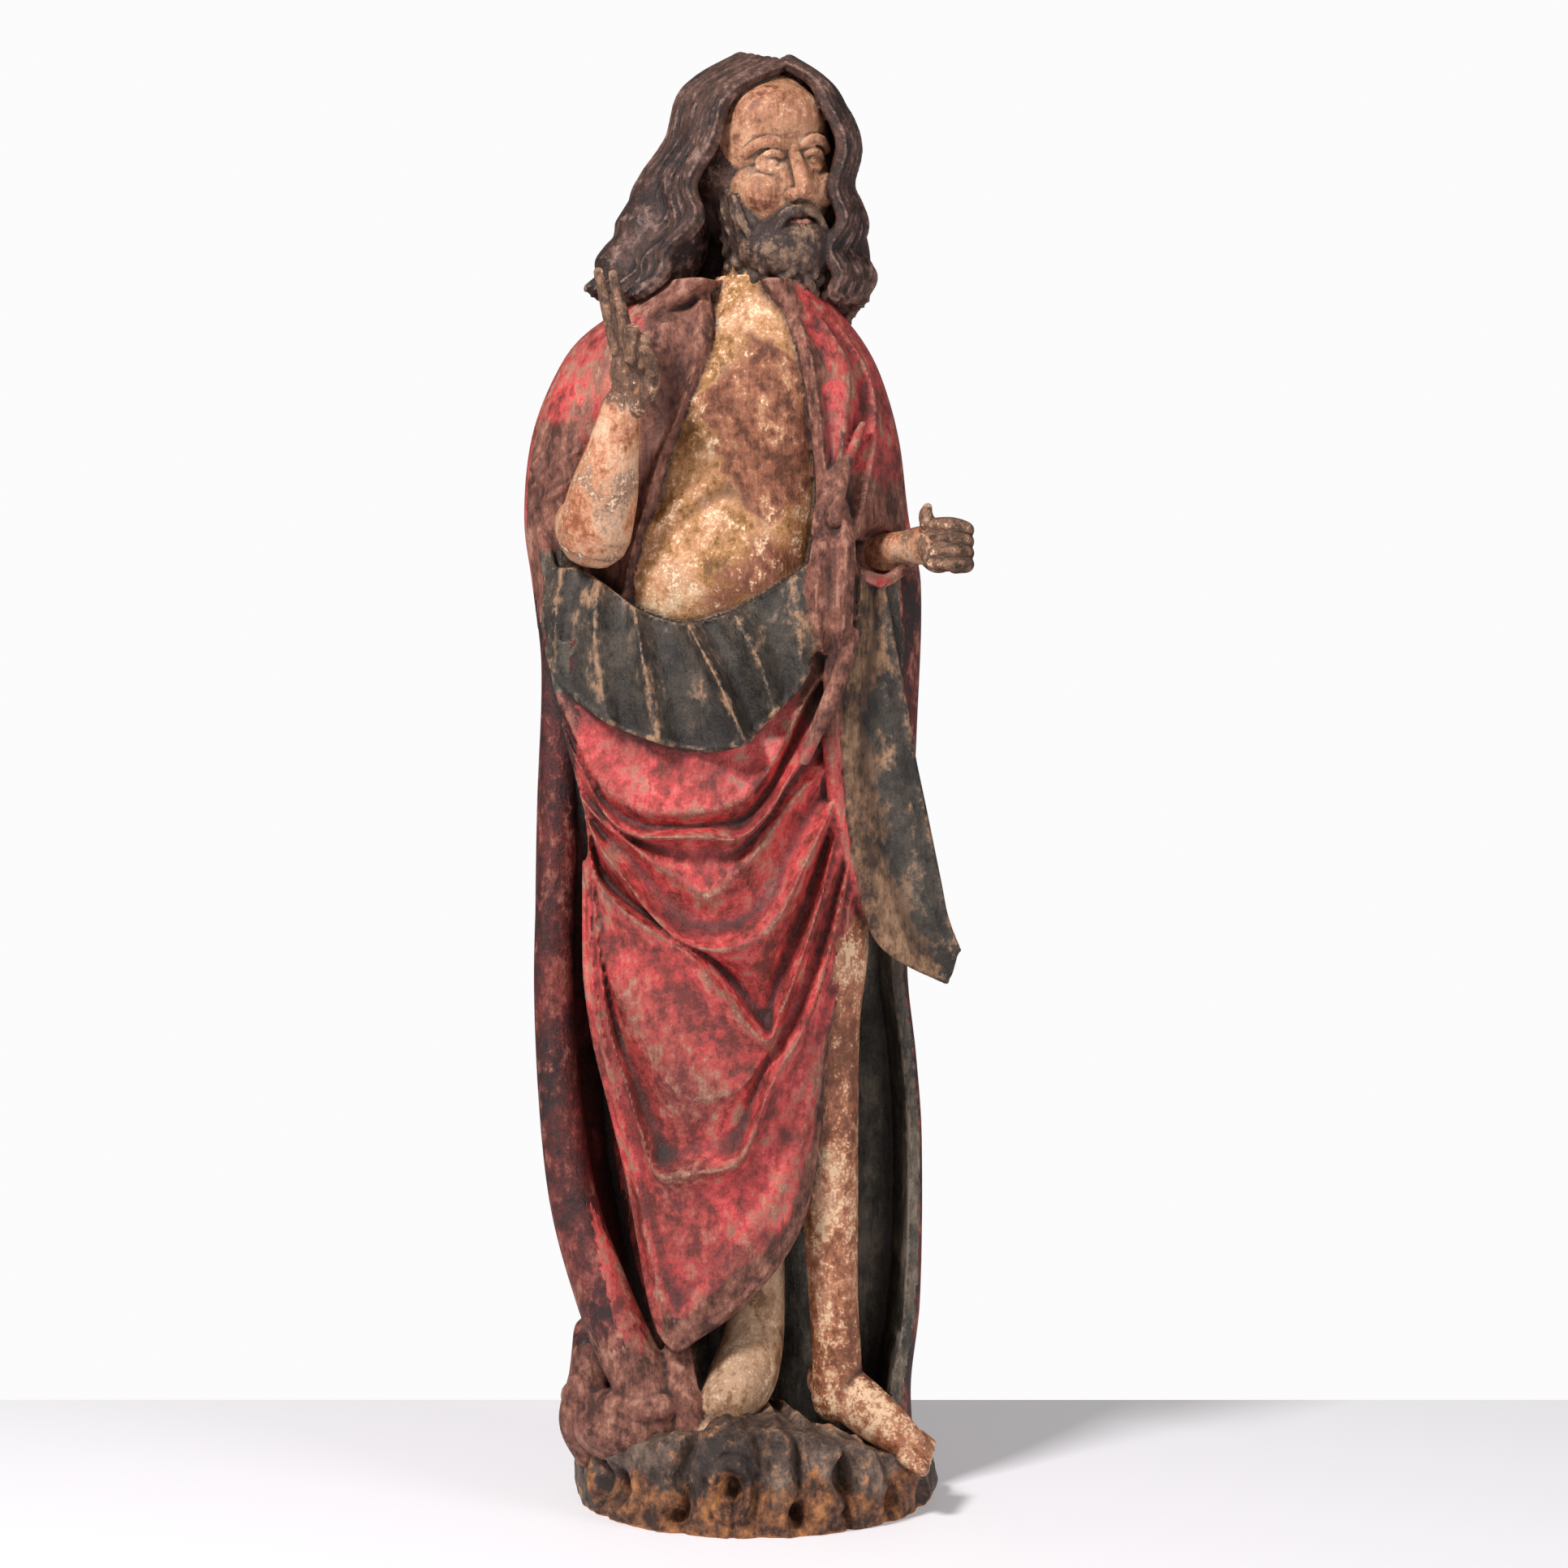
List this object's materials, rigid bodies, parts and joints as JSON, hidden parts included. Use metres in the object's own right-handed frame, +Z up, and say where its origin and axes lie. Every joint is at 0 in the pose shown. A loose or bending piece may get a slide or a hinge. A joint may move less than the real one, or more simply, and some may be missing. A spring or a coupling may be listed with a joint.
{
  "type": "wooden christ figure",
  "caption": "Painted wooden standing figure of Christ, one hand raised to bless, in a draped open cloak, carved in the round with its rocky mound.",
  "frame": {"origin": "centre of the round mound's flat underside", "axes": "+Z up from the underside to the crown, the figure looks along -Y, its raised right hand is on the -X side"},
  "size_m": [0.2137, 0.1554, 0.7],
  "materials": {
    "painted_wood": "matt"
  },
  "bodies": {
    "root": {"christ_figure": "painted_wood"}
  },
  "joints": []
}
